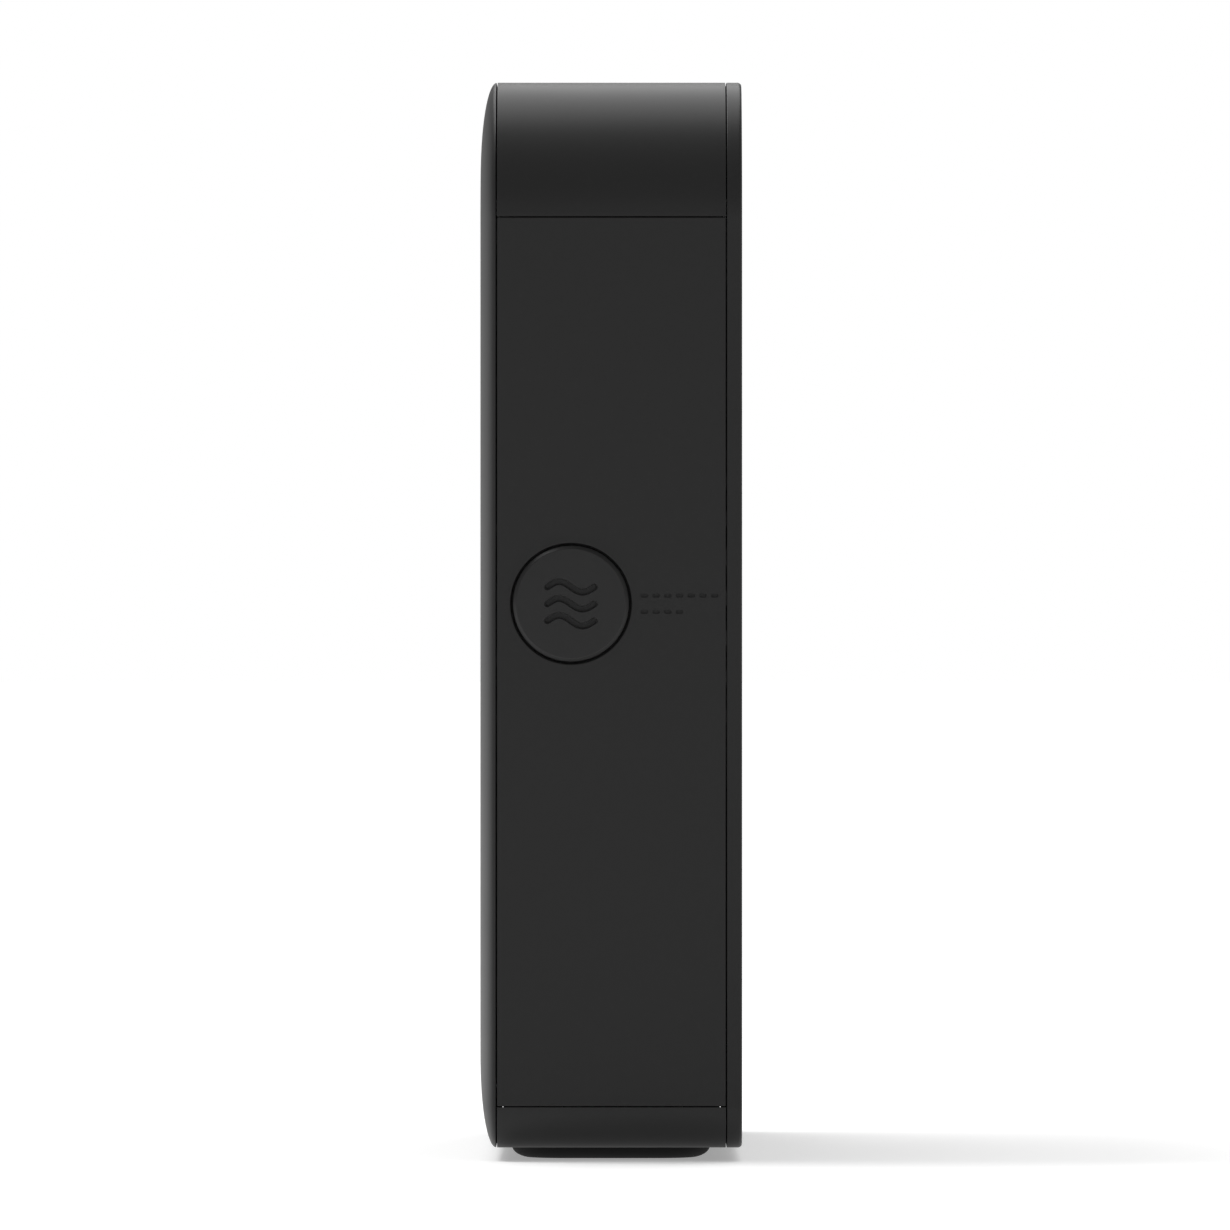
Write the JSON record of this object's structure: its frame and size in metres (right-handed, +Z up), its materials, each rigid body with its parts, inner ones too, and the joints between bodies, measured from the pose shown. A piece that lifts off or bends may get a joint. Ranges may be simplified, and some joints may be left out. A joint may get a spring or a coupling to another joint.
{
  "type": "desk fan",
  "caption": "Upright desk fan with a round swirl-grille head tilting on side pivots inside a square frame, and a speed knob on one side.",
  "frame": {"origin": "middle of the footprint, on the surface that the fan stands on", "axes": "+Z up, -X the way the air leaves (front), +X rear, -Y the side with the speed knob"},
  "size_m": [0.084, 0.34, 0.3467],
  "materials": {
    "frame_plastic": "satin charcoal moulding with a fine grain",
    "head_plastic": "satin dark grey moulding",
    "black_plastic": "matt black moulding",
    "rubber": "soft black rubber",
    "nylon": "natural nylon",
    "steel": "zinc plated steel",
    "cast_aluminium": "as cast",
    "winding": "enamelled copper wire on a steel core",
    "circuit_board": "green laminate with solder mask"
  },
  "bodies": {
    "frame": {"front_cover": "frame_plastic", "rear_cover": "frame_plastic", "top_cap": "frame_plastic", "bottom_cap": "frame_plastic", "liner_ring": "frame_plastic", "side_panel_left": "frame_plastic", "side_panel_right": "frame_plastic", "foot_left": "rubber", "foot_right": "rubber", "pivot_bush_left": "nylon", "pivot_bush_right": "nylon", "friction_washer_left": "rubber", "friction_washer_right": "rubber", "cover_screw_1": "steel", "cover_screw_2": "steel", "cover_screw_3": "steel", "cover_screw_4": "steel", "pivot_cap": "frame_plastic", "power_inlet": "black_plastic", "power_board": "circuit_board", "control_board": "circuit_board", "rotary_switch": "black_plastic"},
    "knob": {"speed_knob": "frame_plastic", "switch_spindle": "steel"},
    "head": {"pivot_pin_left": "steel", "pivot_pin_right": "steel", "pivot_clip_left": "steel", "pivot_clip_right": "steel", "front_ring": "head_plastic", "front_grille": "head_plastic", "grille_cap": "head_plastic", "rear_shell": "head_plastic", "ring_screw_1": "steel", "ring_screw_2": "steel", "ring_screw_3": "steel", "ring_screw_4": "steel", "motor_screw_1": "steel", "motor_screw_2": "steel", "motor_screw_3": "steel", "motor_housing": "cast_aluminium", "motor_stator": "winding", "motor_bearing_front": "steel", "motor_bearing_rear": "steel"},
    "fan": {"motor_rotor": "steel", "motor_shaft": "steel", "fan_blades": "black_plastic", "blade_nut": "black_plastic"}
  },
  "joints": [
    {"name": "head_tilt", "type": "hinge", "parent": "frame", "child": "head", "pos_m": [-0.0128, 0, 0.17863], "axis": [0, 1, 0], "range_deg": [-22.5, 48]},
    {"name": "fan_spin", "type": "hinge", "parent": "head", "child": "fan", "pos_m": [0, 0, 0.17863], "axis": [1, 0, 0], "continuous": true},
    {"name": "knob_turn", "type": "hinge", "parent": "frame", "child": "knob", "pos_m": [-0.0128, -0.17, 0.17863], "axis": [0, 1, 0], "range_deg": [0, 270]}
  ]
}
